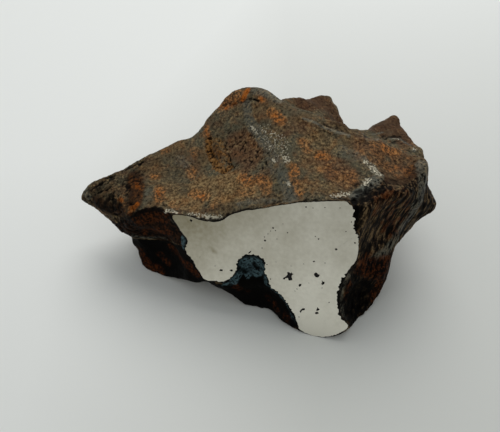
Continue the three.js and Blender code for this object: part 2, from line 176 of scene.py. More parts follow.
# Marks on the crust. Each one runs through some places of the picture, in pixels, and has its reach
# in millimetres and its strength.
MARKS = {
    # orange rust
    "rust": (
        (((222, 107), (230, 100), (241, 95)), 1.1, 0.75),
        (((227, 109), (232, 105)), 0.6, 0.7),
        (((259, 97), (262, 100)), 0.6, 0.8),
        (((271, 112), (276, 116), (282, 121)), 0.8, 0.9),
        (((304, 143), (307, 150)), 0.9, 0.7),
        (((318, 156), (322, 154), (327, 157)), 0.7, 1.2),
        (((294, 168), (296, 172)), 0.8, 1.0),
        (((291, 177), (295, 185), (299, 193)), 0.8, 0.75),
        (((332, 170), (338, 175), (346, 178)), 1.5, 0.42),
        (((349, 178), (353, 182)), 0.9, 0.6),
        (((320, 170), (326, 171)), 0.7, 0.5),
        (((372, 143), (376, 145)), 0.6, 0.6),
        (((384, 147), (390, 151), (396, 152)), 0.9, 0.9),
        (((403, 150), (405, 151)), 0.4, 0.8),
        (((391, 168), (397, 172)), 1.3, 0.45),
        (((366, 152), (378, 157)), 1.6, 0.35),
        (((396, 160), (406, 166)), 1.6, 0.35),
        (((207, 130), (208, 136)), 0.7, 0.8),
        (((192, 150), (195, 153)), 0.8, 0.45),
        (((243, 178), (250, 183)), 1.1, 0.9),
        (((257, 179), (267, 182)), 0.9, 0.95),
        (((264, 186), (268, 191)), 0.8, 0.6),
        (((193, 193), (199, 196), (206, 196)), 0.9, 0.9),
        (((158, 190), (160, 198)), 0.9, 0.85),
        (((152, 177), (157, 177)), 0.6, 0.6),
        (((190, 170), (193, 176)), 0.8, 0.7),
        (((172, 205), (178, 207)), 0.7, 0.5),
        (((214, 204), (222, 200)), 1.0, 0.45),
        (((241, 191), (250, 192)), 1.0, 0.5),
        (((133, 179), (137, 186), (138, 198)), 1.1, 0.22),
        (((126, 206), (132, 208)), 0.8, 0.5),
        (((118, 196), (124, 204)), 1.2, 0.4),
        (((163, 153), (168, 151)), 0.6, 0.6),
    ),
    # fresh, saturated orange
    "fresh": (
        (((243, 99), (245, 95), (248, 90)), 0.45, 1.0),
        (((226, 109), (231, 105), (236, 103)), 0.3, 0.55),
        (((259, 97), (262, 99)), 0.3, 0.5),
        (((274, 115), (278, 118)), 0.4, 0.35),
        (((119, 199), (122, 201)), 0.4, 0.8),
        (((129, 214), (133, 209), (137, 205)), 0.45, 0.6),
        (((136, 181), (139, 189)), 0.35, 0.4),
        (((156, 215), (161, 216)), 0.4, 0.9),
        (((319, 155), (325, 155)), 0.3, 0.4),
        (((207, 131), (208, 136)), 0.3, 0.45),
        (((243, 179), (247, 183)), 0.3, 0.35),
        (((196, 195), (203, 196)), 0.3, 0.35),
        (((158, 192), (160, 197)), 0.35, 0.45),
    ),
    # reddish brown in the dark
    "ember": (
        (((139, 250), (145, 259), (151, 268), (160, 271)), 1.1, 0.75),
        (((172, 247), (180, 256), (188, 266), (196, 275)), 0.9, 0.85),
        (((160, 254), (168, 262)), 0.7, 0.6),
        (((138, 220), (150, 217), (163, 219)), 1.1, 0.6),
        (((146, 232), (166, 232)), 1.0, 0.6),
        (((236, 286), (246, 291)), 0.7, 0.42),
        (((270, 296), (279, 306), (288, 318)), 0.8, 0.5),
        (((366, 266), (374, 271), (384, 266)), 1.9, 0.95),
        (((383, 272), (380, 284), (374, 296)), 1.1, 0.8),
        (((352, 284), (347, 298)), 0.7, 0.6),
        (((388, 196), (392, 210), (388, 224)), 1.6, 0.42),
        (((378, 200), (376, 212)), 1.2, 0.35),
        (((404, 196), (403, 214), (394, 232)), 1.6, 0.4),
    ),
    # slate grey on the ridges
    "slate": (
        (((372, 181), (362, 190), (354, 197)), 0.8, 0.8),
        (((281, 175), (287, 188), (292, 198)), 0.6, 0.5),
        (((247, 104), (249, 118)), 0.7, 0.45),
        (((252, 126), (262, 140)), 0.6, 0.4),
        (((256, 92), (268, 95)), 0.6, 0.35),
        (((412, 192), (408, 205)), 0.6, 0.3),
        (((352, 266), (344, 277), (339, 290), (338, 304), (344, 319)), 0.25, 0.9),
    ),
    # painted shadow: dark patches where shade falls on the horn and along edges
    "shadow_patch": (
        (((94, 202), (104, 207), (113, 208)), 0.9, 0.6),
        (((104, 196), (112, 202), (120, 206)), 1.1, 0.6),
        (((98, 188), (103, 191)), 0.7, 0.5),
        (((122, 182), (128, 188), (127, 194)), 0.6, 0.5),
        (((110, 179), (118, 178)), 0.5, 0.4),
        (((150, 208), (160, 209)), 0.5, 0.6),
        (((119, 222), (132, 215), (146, 209), (160, 209)), 0.5, 0.8),
        (((368, 187), (357, 195)), 0.8, 0.55),
        (((357, 201), (367, 195), (380, 190)), 0.9, 0.75),
        (((360, 206), (358, 226)), 0.8, 0.6),
        (((392, 184), (402, 184), (410, 180)), 0.9, 0.4),
    ),
    # ruddy brown
    "ruddy": (
        (((306, 103), (325, 103), (334, 116)), 2.2, 0.9),
        (((372, 150), (390, 160), (405, 168)), 4.0, 0.6),
        (((380, 128), (396, 122), (404, 138)), 2.4, 0.8),
        (((238, 144), (250, 156)), 2.6, 0.9),
        (((230, 112), (236, 120)), 1.4, 0.4),
        (((332, 168), (345, 178)), 2.4, 0.8),
        (((186, 158), (192, 172)), 1.8, 0.5),
        (((272, 122), (284, 134)), 1.8, 0.4),
    ),
    # umber, in the shade and in the folds
    "umber": (
        (((134, 177), (137, 190), (134, 204)), 1.4, 1.0),
        (((96, 202), (108, 208), (122, 211)), 1.2, 0.9),
        (((118, 204), (128, 200)), 1.0, 0.5),
        (((304, 104), (320, 102), (334, 116), (342, 126)), 2.0, 0.55),
        (((378, 129), (392, 122), (402, 134)), 2.2, 0.5),
        (((388, 181), (398, 183), (408, 179), (416, 170)), 1.1, 0.75),
        (((212, 146), (219, 158)), 1.0, 0.4),
        (((150, 164), (174, 168)), 2.0, 0.3),
        (((200, 209), (236, 206), (268, 203), (300, 199)), 0.7, 0.35),
        (((324, 192), (344, 190)), 0.9, 0.3),
    ),
    # tan, sandy rust
    "tan": (
        (((198, 187), (215, 184), (232, 180)), 1.7, 1.1),
        (((214, 198), (232, 193), (252, 190)), 1.6, 0.7),
        (((304, 186), (330, 187), (345, 183)), 1.3, 0.45),
        (((304, 162), (316, 168)), 1.4, 0.5),
        (((172, 200), (196, 206)), 1.4, 0.7),
        (((304, 146), (330, 150)), 1.6, 0.35),
        (((312, 138), (328, 142)), 1.6, 0.6),
    ),
    # ochre, in the deeply pitted patch
    "ochre": (
        (((209, 140), (208, 147), (210, 153), (213, 160)), 0.6, 1.0),
        (((213, 160), (217, 167), (224, 171), (229, 167)), 0.6, 1.0),
        (((213, 139), (220, 141), (224, 149), (228, 159), (229, 167)), 0.5, 0.45),
        (((216, 148), (219, 158), (222, 163)), 1.1, 0.35),
    ),
    # ridges worn down to grey
    "worn": (
        (((247, 104), (249, 118)), 0.9, 0.8),
        (((251, 124), (260, 137), (269, 149)), 1.0, 0.9),
        (((268, 148), (274, 160), (280, 172)), 1.3, 0.6),
        (((282, 176), (287, 188), (292, 198)), 0.9, 1.0),
        (((254, 90), (268, 94), (279, 101)), 0.8, 0.7),
        (((180, 160), (188, 163)), 1.1, 0.5),
        (((344, 152), (356, 156)), 1.2, 0.4),
        (((362, 158), (372, 167), (380, 175)), 0.8, 0.6),
        (((379, 178), (368, 188), (354, 198)), 0.9, 0.75),
        (((240, 204), (262, 201), (296, 199)), 0.6, 0.6),
        (((166, 212), (178, 226), (185, 237)), 0.35, 0.7),
        (((133, 235), (150, 237), (168, 238)), 0.35, 0.8),
        (((422, 167), (423, 176), (421, 190), (417, 205)), 1.15, 1.1),
        (((417, 205), (408, 220), (396, 238), (386, 252), (372, 262)), 0.9, 0.95),
        (((86, 189), (84, 194), (88, 197)), 0.6, 0.9),
        (((148, 190), (151, 197)), 0.9, 0.4),
        (((303, 119), (313, 122), (325, 128), (337, 132.5), (349, 136)), 0.22, 1.3),
        (((356, 134), (373, 134), (383, 132)), 0.25, 0.6),
        (((366, 140.5), (377, 141), (391, 139.5)), 0.22, 0.7),
        (((391, 139.5), (399, 139.5), (405, 144), (413, 150), (421, 157)), 0.3, 1.1),
        (((205, 130), (199, 133)), 0.3, 0.7),
        (((349, 277), (341, 290), (340, 306), (346, 318)), 0.6, 0.8),
    ),
    # white and cream crumbs
    "chalk": (
        (((204, 217), (212, 218), (219, 218)), 0.5, 0.62),
        (((167, 211), (172, 212), (177, 214)), 0.4, 0.68),
        (((190, 214), (200, 216)), 0.5, 0.4),
        (((372, 167), (375, 170), (379, 174)), 0.6, 0.52),
        (((366, 162), (370, 166)), 0.4, 0.5),
        (((367, 180), (365, 185)), 0.4, 0.6),
        (((251, 127), (256, 132)), 0.3, 0.6),
        (((285, 158), (287, 161)), 0.4, 0.55),
        (((273, 160), (276, 161)), 0.3, 0.55),
        (((288, 183), (289, 184)), 0.3, 0.55),
        (((334, 196), (347, 194)), 0.5, 0.45),
        (((393, 139), (400, 140.5)), 0.2, 0.5),
        (((413, 151), (419, 156)), 0.4, 0.75),
        (((264, 132), (272, 140), (282, 148)), 1.2, 0.2),
    ),
    # cracks, grooves and hollows painted black as shade
    "shaded_hollow": (
        (((250, 98.5), (254, 99)), 0.12, 0.9),
        (((254, 99), (258, 100.5)), 0.16, 0.9),
        (((244, 269), (246, 271)), 0.6, 0.7),
        (((255, 264), (258, 267)), 0.6, 0.7),
        (((306, 111), (315, 116), (322, 122)), 0.2, 0.4),
        (((366, 137), (385, 137), (400, 137)), 0.2, 0.4),
        (((400, 141), (411, 146), (419, 152)), 0.25, 0.6),
        (((414, 162), (418, 162)), 0.3, 0.9),
        (((353, 200), (355, 214)), 0.6, 0.7),
        (((362, 300), (352, 308), (352, 318)), 1.6, 0.55),
    ),
    # the rough dish above the ochre patch
    "dish": (
        (((234, 144), (246, 148), (256, 158)), 2.6, 1.0),
        (((232, 158), (246, 166)), 2.0, 0.9),
    ),
    # stretches of the window's rim with ragged teeth
    "teeth": (
        (((354, 203), (356, 225), (360, 250), (352, 268), (345, 278)), 1.2, 1.0),
        (((236, 266), (240, 257), (262, 256), (266, 272), (272, 288), (284, 299), (292, 314)), 1.2, 0.7),
        (((236, 276), (222, 284)), 1.0, 0.6),
        (((340, 290), (338, 305), (343, 320)), 1.0, 0.5),
        (((178, 230), (186, 245), (194, 262)), 1.0, 0.4),
    ),
}

# Areas of the crust. Each one has its outline and the softness of its edge, in pixels of the picture.
AREAS = {
    # facet below the horn, painted dark as shade
    "shade": (
        (
            (110, 221), (118, 223), (130, 217), (138, 211), (146, 208), (156, 207), (168, 211),
            (176, 220), (183, 232), (192, 250), (168, 240), (150, 238), (133, 237), (120, 234),
        ),
        2.5,
    ),
    # underside of the left lobe, painted dark as shadow
    "lobe_shadow": (
        (
            (129, 238), (150, 239.5), (168, 240.5), (192, 250), (203, 262), (216, 284), (190, 290),
            (150, 284), (137, 270), (133, 252),
        ),
        2.5,
    ),
    # flank right of the window, with its streaks, also painted dark as shade
    "flank": (
        (
            (380, 177), (365, 189), (350, 200), (354, 215), (356, 235), (356, 250), (348, 268),
            (338, 285), (335, 305), (345, 324), (360, 334), (395, 290), (410, 240), (440, 212),
            (440, 203), (430, 187), (424, 172), (418, 176), (407, 184), (396, 188), (386, 183),
        ),
        4,
    ),
    # low bowl at the right, painted dark as shadow
    "bowl_shadow": (
        (
            (372, 258), (396, 258), (396, 280), (370, 320), (352, 326), (344, 314), (342, 300),
            (346, 286), (356, 272),
        ),
        9,
    ),
    # hollow that the cut opened, painted dark as shadow
    "notch_shadow": (
        (
            (205, 283), (222, 284), (236, 273), (236, 262), (242, 252), (262, 252), (269, 262),
            (270, 280), (284, 295), (294, 308), (300, 327), (270, 330), (230, 312),
        ),
        2.5,
    ),
    # blue-grey skin in the notch
    "bruise": (
        (
            (228, 282), (236, 273), (237, 262), (242, 253), (262, 252), (268, 262), (269, 280),
            (284, 295), (293, 308), (299, 326), (293, 321), (287, 305), (276, 292), (266, 285),
            (263, 274), (258, 278), (253, 275), (248, 279), (243, 274), (236, 284), (222, 286),
            (222, 282),
        ),
        4,
    ),
    # blue-grey chip at the window's left
    "chip": (((182, 234), (189, 240), (188, 246), (184, 251), (181, 243)), 2),
}


def hue(red, green, blue):
    """A colour as a screen shows it, 0 to 255, as the linear values that Blender wants."""
    share = [value / 255 for value in (red, green, blue)]
    return tuple(v / 12.92 if v <= 0.04045 else ((v + 0.055) / 1.055) ** 2.4 for v in share)


def colour(name, description, value):
    return FloatVectorProperty(
        name=name, description=description, default=value, subtype="COLOR", size=3, min=0, max=1
    )


def length(name, description, millimetres):
    return FloatProperty(
        name=name, description=description, default=millimetres * MM, min=0, unit="LENGTH", precision=5
    )


class SurfaceSettings(bpy.types.PropertyGroup):
    """Sizes of the skin's relief."""

    grain: length("Grain", "Size of the skin's faces", 0.275)
    overcut: length("Overcut", "How far the lump stands out past the cut before it is sawn", 1.2)
    swell: length("Swell", "Height of the broad unevenness", 0.12)
    bumps: length("Bumps", "Height of the small bumps", 0.07)
    gravel: length("Gravel", "Height of the finest bumps", 0.045)
    wrinkles: length("Wrinkles", "Depth of the creases on the horn", 0.32)
    streaks: length("Streaks", "Depth of the streaks on the right flank", 0.17)
    pits: length("Pits", "Depth of the corrosion pits", 0.45)
    teeth: length("Teeth", "Depth of the ragged teeth of the window's rim", 0.38)
    seed: IntProperty(name="Seed", description="Start of the random draws", default=1, min=1)
    settling: IntProperty(
        name="Settling", description="Rounds of smoothing of the bare skin", default=12, min=0
    )


class CrustSettings(bpy.types.PropertyGroup):
    """Colours of the rusty crust."""

    dark: colour("Dark brown", "Crust in shade and in pits", hue(28, 18, 10))
    brown: colour("Brown", "Most of the crust", hue(95, 78, 55))
    olive: colour("Olive", "Greyer spots of the crust", hue(84, 80, 64))
    red: colour("Red brown", "Warmer spots of the crust", hue(94, 66, 46))
    tan: colour("Tan", "Sandy rust", hue(126, 95, 58))
    crumb: colour("Crumb", "Tan crumbs on the crust", hue(166, 141, 98))
    umber: colour("Umber", "Warm dark crust in the shade", hue(44, 24, 11))
    rust: colour("Rust", "Orange rust patches", hue(130, 82, 42))
    bright_rust: colour("Bright rust", "Crumbs in the rust patches", hue(196, 120, 54))
    fresh: colour("Fresh rust", "Saturated orange in the rust patches", hue(176, 92, 16))
    ember: colour("Ember", "Reddish brown in the dark", hue(82, 40, 14))
    ochre: colour("Ochre", "Rust in the deeply pitted patch", hue(132, 86, 32))
    fibre: colour("Fibre", "Raised streaks of the right flank", hue(124, 102, 72))
    worn: colour("Worn grey", "Ridges worn down to metal", hue(96, 95, 84))
    slate: colour("Slate grey", "Smooth grey on the ridges", hue(66, 73, 69))
    bruise: colour("Bruise", "Blue-grey skin beside the cut", hue(76, 98, 103))
    chalk: colour("Chalk", "White and cream crumbs", hue(196, 188, 166))
    black: colour("Black", "Hollows that never catch light", hue(4, 3, 2))


class WindowSettings(bpy.types.PropertyGroup):
    """Finish of the polished window."""

    iron: colour("Iron", "Polished nickel-iron", hue(237, 233, 220))
    # the haze colour also tints the painted reflection towards the window's upper left and top
    haze: colour("Haze", "Duller iron at the upper left", hue(104, 90, 38))
    inclusion: colour("Inclusion", "Dark mineral in the iron", hue(12, 10, 8))
    speck: colour("Speck", "Paler grains of that mineral", hue(52, 40, 30))
    roughness: FloatProperty(
        name="Roughness", description="Softness of the polish", default=0.34, min=0, max=1
    )
    depth: length("Inclusion depth", "How deep an inclusion has crumbled away", 0.25)


class StageSettings(bpy.types.PropertyGroup):
    """Floor and light."""

    floor: colour("Floor", "Pale table", hue(235, 236, 232))
    # painted shade: the floor's colour towards the near right
    shaded_near_floor: colour("Near floor", "Pale table towards the near right", hue(199, 200, 194))
    sky_tint: colour("Sky tint", "Colour of the even light", hue(244, 248, 250))
    sky: FloatProperty(name="Sky", description="Strength of the even light", default=0.55, min=0)
    softbox: FloatProperty(
        name="Softbox", description="Power of the overhead light", default=1.25, min=0, unit="POWER"
    )


# The skin.

# Rounds of the search for the lump's nearest place to a line of sight.
APPROACHES = 8

# Vertices of the solid closer than this are one, and vertices closer than this to the cut lie on it.
MERGED = 0.001 * MM
ON_THE_CUT = 0.0001 * MM

# How much of each smoothing step is taken back, so that the lump doesn't shrink.
REBOUND = 0.53

# Vertices whose moves are worked out together.
CHUNK = 1500


def picture_ray(u, v):
    """Direction from the camera through a pixel of the picture."""
    right = (u - PICTURE[0] / 2) / FOCAL_PIXELS
    down = (v - PICTURE[1] / 2) / FOCAL_PIXELS
    return (CAMERA_TURN.to_matrix() @ Vector((right, -down, -1))).normalized()


def seen_on(tree, pixel):
    """Place on the lump that the camera sees at a pixel, or its nearest place to that line of sight."""
    ray = picture_ray(*pixel)
    place = tree.ray_cast(CAMERA_PLACE, ray)[0]
    if place is None:
        place = CUT_PLACE
        for _ in range(APPROACHES):
            place = tree.find_nearest(CAMERA_PLACE + ray * (place - CAMERA_PLACE).dot(ray))[0]
    return place


def seen_on_window(pixel):
    """Place on the plane of the cut at a pixel."""
    ray = picture_ray(*pixel)
    return CAMERA_PLACE + ray * ((CUT_PLACE - CAMERA_PLACE).dot(CUT_NORMAL) / ray.dot(CUT_NORMAL))


def on_picture(places):
    """Pixels of the picture where the camera sees places, and how deep in its view they are."""
    seen = (places - np.array(CAMERA_PLACE)) @ np.array(CAMERA_TURN.to_matrix())
    depths = -seen[:, 2]
    across = PICTURE[0] / 2 + FOCAL_PIXELS * seen[:, 0] / depths
    down = PICTURE[1] / 2 - FOCAL_PIXELS * seen[:, 1] / depths
    return np.stack([across, down], axis=1), depths


def past_the_cut(places):
    """Signed distance of places in front of the cut."""
    return (places - np.array(CUT_PLACE)) @ np.array(CUT_NORMAL)


def drawn_out(node, overcut):
    """A merged copy of the solid, with the window standing out past the cut."""
    bm = bmesh.new()
    bm.from_mesh(node.data)
    bmesh.ops.remove_doubles(bm, verts=bm.verts[:], dist=MERGED)
    window = [
        face
        for face in bm.faces
        if face.normal.dot(CUT_NORMAL) > 0.999
        and abs((face.calc_center_median() - CUT_PLACE).dot(CUT_NORMAL)) < 0.01 * MM
    ]
    grown = bmesh.ops.extrude_face_region(bm, geom=window)["geom"]
    risen = [part for part in grown if isinstance(part, bmesh.types.BMVert)]
    bmesh.ops.translate(bm, verts=risen, vec=CUT_NORMAL * overcut)
    bmesh.ops.delete(bm, geom=[face for face in window if face.is_valid], context="FACES")
    bmesh.ops.recalc_face_normals(bm, faces=bm.faces[:])
    mesh = bpy.data.meshes.new("meteorite_skin")
    bm.to_mesh(mesh)
    bm.free()
    return mesh


def fine_skin(skin, settings):
    """Gives the skin small even faces, and rounds off the solid's facets."""
    rounding = skin.modifiers.new("Rounding", "SUBSURF")
    rounding.levels = rounding.render_levels = 1
    remesh = skin.modifiers.new("Fine faces", "REMESH")
    remesh.mode = "VOXEL"
    remesh.voxel_size = settings.grain
    bpy.context.view_layer.update()
    evaluated = skin.evaluated_get(bpy.context.evaluated_depsgraph_get())
    fine = bpy.data.meshes.new_from_object(evaluated)
    skin.modifiers.clear()
    coarse, skin.data = skin.data, fine
    bpy.data.meshes.remove(coarse)
    fine.name = "meteorite_skin"
    write(fine, settled(read(fine, "co"), neighbours(fine), settings.settling, REBOUND))


def read(mesh, field, width=3):
    """A vertex value of the mesh as an array."""
    values = np.empty(len(mesh.vertices) * width)
    mesh.vertices.foreach_get(field, values)
    return values.reshape(-1, width) if width > 1 else values


def write(mesh, places):
    mesh.vertices.foreach_set("co", places.ravel())
    mesh.update()


def store(mesh, name, values):
    """Keeps a value at each vertex for the materials."""
    mesh.attributes.new(name, "FLOAT", "POINT").data.foreach_set("value", values.astype(np.float32))


def painted(places, tree, marks):
    """How strongly each place is marked, 0 to 1, by marks given as pixels, reach and strength."""
    covered = np.zeros(len(places))
    for pixels, reach, strength in marks:
        line = [np.array(seen_on(tree, pixel)) for pixel in pixels]
        for start, end in zip(line, line[1:]):
            run = end - start
            along = np.clip((places - start) @ run / max(run @ run, 1e-12), 0, 1)
            gap = np.linalg.norm(places - start - along[:, None] * run, axis=1)
            fade = np.clip(1.5 - gap / (reach * MM), 0, 1)
            covered = np.maximum(covered, strength * fade * fade * (3 - 2 * fade))
    return covered


def enclosed(pixels, corners):
    """How deep pixels lie inside a closed outline, in pixels, and negative outside it."""
    corners = np.array(corners, float)
    inside = np.zeros(len(pixels), bool)
    gap = np.full(len(pixels), np.inf)
    for start, end in zip(corners, np.roll(corners, -1, 0)):
        run = end - start
        offset = pixels - start
        along = np.clip(offset @ run / (run @ run), 0, 1)
        gap = np.minimum(gap, np.linalg.norm(offset - along[:, None] * run, axis=1))
        if run[1]:
            spanned = (start[1] > pixels[:, 1]) != (end[1] > pixels[:, 1])
            inside ^= spanned & (offset[:, 0] < run[0] * offset[:, 1] / run[1])
    return np.where(inside, gap, -gap)


def uneven(places, size, octaves=3, shift=0.0, along=None, stretch=1.0):
    """Fractal noise at places, about -1 to 1.

    Its lumps have a size in millimetres, and may be drawn out along a direction.
    """
    if along is not None:
        along = np.array(along.normalized())
        places = places - np.outer(places @ along, along) * (1 - 1 / stretch)
    places = places / (size * MM) + shift
    return np.array([noise.fractal(place, 1.0, 2.0, octaves) for place in places.tolist()])


def cells(places, size, shift=0.0, warp=0.35):
    """Cracked cells of a size in millimetres: 0 on their walls, growing towards their middles."""
    places = places / (size * MM) + shift
    bent = [place + warp * noise.noise_vector(place * 1.7) for place in map(Vector, places.tolist())]
    spans = np.array([noise.voronoi(place)[0][:2] for place in bent])
    return spans[:, 1] - spans[:, 0]


def neighbours(mesh):
    """Pairs of vertices that share an edge."""
    edges = np.empty(len(mesh.edges) * 2, np.int64)
    mesh.edges.foreach_get("vertices", edges)
    return edges.reshape(-1, 2)


def settled(places, edges, rounds, rebound=0.0):
    """Places after rounds of moving each one towards its neighbours and, with a rebound, out again."""
    count = np.bincount(edges.ravel(), minlength=len(places))[:, None]
    for _ in range(rounds):
        for pull in (0.5, -rebound) if rebound else (0.5,):
            total = np.empty_like(places)
            for axis in range(3):
                total[:, axis] = np.bincount(edges[:, 0], places[edges[:, 1], axis], len(places))
                total[:, axis] += np.bincount(edges[:, 1], places[edges[:, 0], axis], len(places))
            places = places + pull * (total / count - places)
    return places


def eased(places, anchors, pulls, spread, reach):
    """How far places move with the anchors near them. The spread and the reach are in millimetres."""
    shift = np.empty_like(places)
    for chunk in np.array_split(np.arange(len(places)), 1 + len(places) // CHUNK):
        span = np.linalg.norm(places[chunk, None] - anchors[None], axis=2) / MM
        weight = np.exp(-((span / spread) ** 2) / 2) + 1e-30
        fade = np.clip(1 - span.min(1) / reach, 0, 1)
        fade = fade * fade * (3 - 2 * fade)
        shift[chunk] = weight @ pulls / weight.sum(1)[:, None] * fade[:, None]
    return shift


def fit_outline(places, spreads, reach):
    """Moves the skin behind the cut, near its outline for the camera, onto the outline in the picture."""
    camera = np.array(CAMERA_TURN.to_matrix())
    corners = np.array(OUTLINE)
    stations = []
    for start, end in zip(corners, np.roll(corners, -1, 0)):
        steps = math.ceil(math.dist(start, end) / OUTLINE_STEP)
        outwards = np.array([end[1] - start[1], start[0] - end[0]]) / math.dist(start, end)
        stations += [(start + (end - start) * (step + 0.5) / steps, outwards) for step in range(steps)]
    for spread in spreads:
        freedom = np.clip(-past_the_cut(places) / LIP, 0, 1)
        free = np.flatnonzero(freedom)
        pixels, depths = on_picture(places[free])
        anchors = []
        pulls = []
        for station, outwards in stations:
            offset = pixels - station
            beyond = offset @ outwards
            beside = offset @ np.array([-outwards[1], outwards[0]])
            far_off = (np.abs(beside) > OUTLINE_STEP * 0.6) | (np.abs(beyond) > OUTLINE_SEARCH)
            beyond[far_off] = -OUTLINE_SEARCH
            edge = beyond.argmax()
            if beyond[edge] > -OUTLINE_SEARCH:
                anchors.append(places[free[edge]])
                back = camera @ (-outwards[0], outwards[1], 0)
                pulls.append(back * beyond[edge] * depths[edge] / FOCAL_PIXELS)
        near = free[np.abs(enclosed(pixels, OUTLINE)) < OUTLINE_NEAR]
        shift = eased(places[near], np.array(anchors), np.array(pulls), spread, reach)
        places[near] += shift * freedom[near][:, None]
        places[:, 2] = np.maximum(places[:, 2], 0)
    return places


def fit_rim(places):
    """Moves the skin near the cut until its rim meets the window's outline."""
    corners = [np.array(seen_on_window(pixel)) for pixel in RIM]
    sides = zip(corners, corners[1:] + corners[:1])
    outline = np.concatenate([np.linspace(*side, RIM_STEPS, endpoint=False) for side in sides])
    for spread in RIM_SPREADS:
        behind = past_the_cut(places)
        rim = places[np.abs(behind) < RIM_DEPTH]
        rim = rim - np.outer(past_the_cut(rim), CUT_NORMAL)
        gaps = np.linalg.norm(rim[:, None] - outline[None], axis=2)
        source = gaps.argmin(0)
        anchors = np.concatenate([rim, rim[source]])
        pulls = np.concatenate([outline[gaps.argmin(1)] - rim, outline - rim[source]])
        near = np.flatnonzero(behind > -RIM_REACH * MM)
        lowered = places[near] - np.outer(np.abs(behind[near]), CUT_NORMAL)
        places[near] += eased(lowered, anchors, pulls, spread, RIM_REACH)
    return places


def marked(places, normals, tree):
    """How strongly each place carries each mark, 0 to 1."""
    marks = {name: painted(places, tree, strokes) for name, strokes in MARKS.items()}
    pixels = on_picture(places)[0]
    sight = np.array(CAMERA_PLACE) - places
    facing = np.einsum("ij,ij->i", normals, sight) / np.linalg.norm(sight, axis=1)
    # Each area lies only on the sides that face the camera; the shade, lobe, bowl and notch areas are
    # painted shade, and the flank area partly so.
    in_view = np.clip(0.5 + 4 * facing, 0, 1)
    for name, (corners, softness) in AREAS.items():
        marks[name] = np.clip(0.5 + enclosed(pixels, corners) / softness, 0, 1) * in_view
    horn_reach = (seen_on(tree, HORN_START).x - places[:, 0]) / MM + 1.2 * uneven(places, 5, 2, 4.0)
    marks["horn"] = np.clip(horn_reach * 0.8 + 0.5, 0, 1)
    return marks


def downhill(tree):
    """Direction of the streaks on the right flank."""
    return seen_on(tree, STREAK_RUN[1]) - seen_on(tree, STREAK_RUN[0])


def weathered(places, tree, marks, settings):
    """Height of the relief at places, and how deep they lie in creases and in pits, 0 to 1."""
    swell = uneven(places, 5.0, 3)
    bumps = uneven(places, 1.6, 3, 11.0)
    gravel = uneven(places, 0.7, 3, 23.0)
    relief = settings.swell * swell + settings.bumps * bumps + settings.gravel * gravel
    relief *= 1 - 0.6 * marks["worn"]
    for pixels, reach, height in FORMS:
        relief += height * MM * painted(places, tree, ((pixels, reach, 1.0),))

    # pits of the rough dish, and the network of deeper ones in the ochre patch
    sparse = np.clip(0.5 + 1.6 * uneven(places, 1.4, 2, 29.0), 0, 1)
    pitted = np.clip(cells(places, 0.75, 5.0, 0.8), 0, 0.5) * 2 * sparse
    relief -= settings.pits * marks["dish"] * (0.35 + 0.6 * pitted)
    network = np.clip(cells(places, 1.05, 9.0, 0.9), 0, 0.45) / 0.45
    holes = network * (0.4 + 0.6 * sparse)
    relief -= settings.pits * marks["ochre"] * (0.3 + 1.1 * holes)
    deepest = np.maximum(marks["ochre"] * holes, marks["dish"] * pitted * 0.9)
    pits = np.clip(deepest * 2.6 - 1.1, 0, 1)

    # wrinkles along the horn
    folds = uneven(places, 1.7, 3, 3.0, Vector((1, 0.15, 0.3)), 1.8)
    creases = 1 - np.clip(np.abs(folds) * 6, 0, 1)
    creases *= np.clip(0.6 + 1.8 * uneven(places, 3.0, 2, 7.0), 0, 1) * marks["horn"]
    relief -= settings.wrinkles * creases
    relief += settings.bumps * marks["horn"] * (bumps + gravel)

    # streaks down the flank
    streaks = uneven(places, 0.6, 3, 17.0, downhill(tree), STREAK_STRETCH)
    relief += settings.streaks * marks["flank"] * streaks

    near_cut = np.clip(1 - np.abs(past_the_cut(places)) / (1.2 * MM), 0, 1)
    return relief * (1 - 0.7 * near_cut), np.clip(creases * 1.9 - 0.35, 0, 1), pits


def roughen(mesh, tree, settings):
    """Fits the skin to the picture, gives it its relief and stores where each finish lies."""
    places = fit_outline(read(mesh, "co"), *COARSE_FIT)
    places = fit_outline(fit_rim(places), *FINE_FIT)
    write(mesh, places)
    normals = read(mesh, "normal")
    marks = marked(places, normals, tree)
    relief, creases, pits = weathered(places, tree, marks, settings)
    places = places + normals * relief[:, None]
    places[:, 2] = np.maximum(places[:, 2], 0)
    write(mesh, places)

    smooth = settled(places, neighbours(mesh), 6)
    fine = np.einsum("ij,ij->i", places - smooth, read(mesh, "normal")) / MM
    for name, values in marks.items():
        store(mesh, name, values)
    store(mesh, "crease", creases)
    store(mesh, "pit", pits)
    store(mesh, "grain_height", np.clip(0.5 + fine / 0.12, 0, 1))
    store(mesh, "cut_gap", np.clip(-past_the_cut(places) / MM, 0, 5))


# The window.

